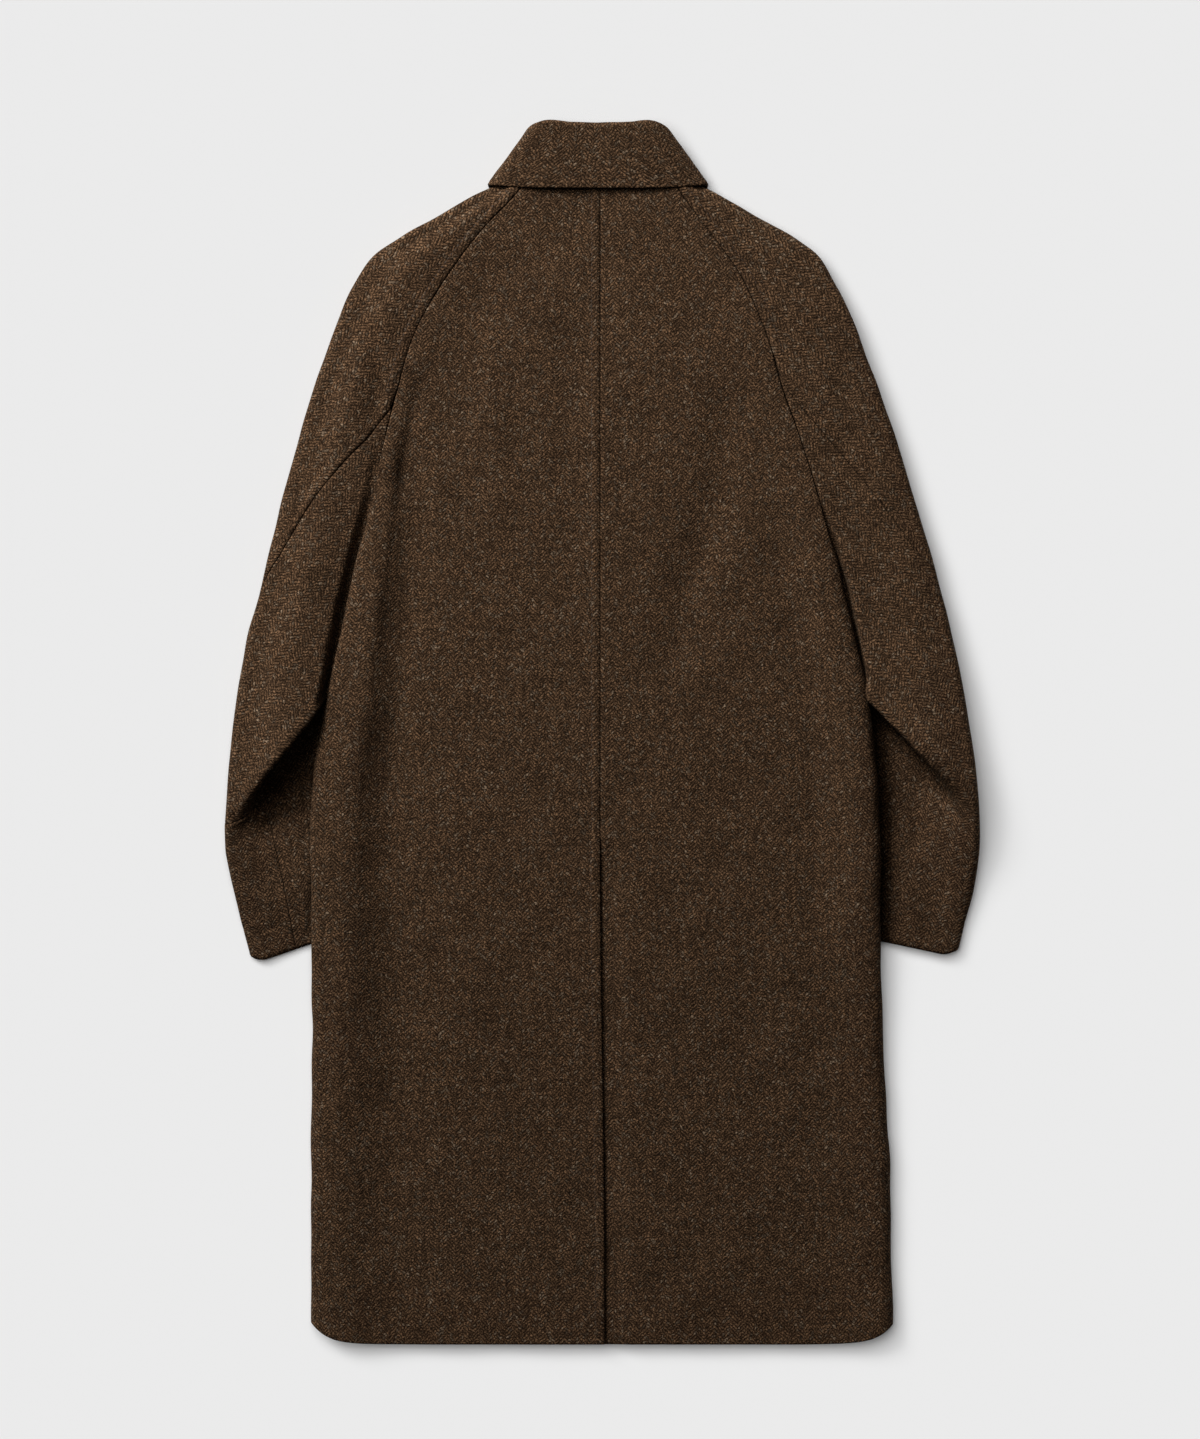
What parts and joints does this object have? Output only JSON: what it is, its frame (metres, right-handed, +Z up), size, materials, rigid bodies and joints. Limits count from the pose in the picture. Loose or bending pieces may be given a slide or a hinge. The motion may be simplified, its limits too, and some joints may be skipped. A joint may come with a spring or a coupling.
{
  "type": "raglan coat",
  "caption": "Long raglan-sleeved overcoat in herringbone wool with a turn-down collar and a centre back vent, lying face down with its back up.",
  "frame": {"origin": "on the resting surface, below the middle of the coat's outline", "axes": "+X to the right of the back as seen from above, +Y from the hem to the collar, +Z up from the surface"},
  "size_m": [0.681, 1.1033, 0.037],
  "materials": {
    "wool_body": "brushed herringbone wool, matt, grain along the back",
    "wool_sleeve": "brushed herringbone wool, matt, grain along the sleeve",
    "wool_collar": "brushed herringbone wool, matt, grain across the collar"
  },
  "bodies": {
    "root": {"back_left": "wool_body", "back_right": "wool_body", "front_left": "wool_body", "front_right": "wool_body", "sleeve_left_top": "wool_sleeve", "sleeve_left_under": "wool_sleeve", "sleeve_right_top": "wool_sleeve", "sleeve_right_under": "wool_sleeve", "collar": "wool_collar"}
  },
  "joints": []
}
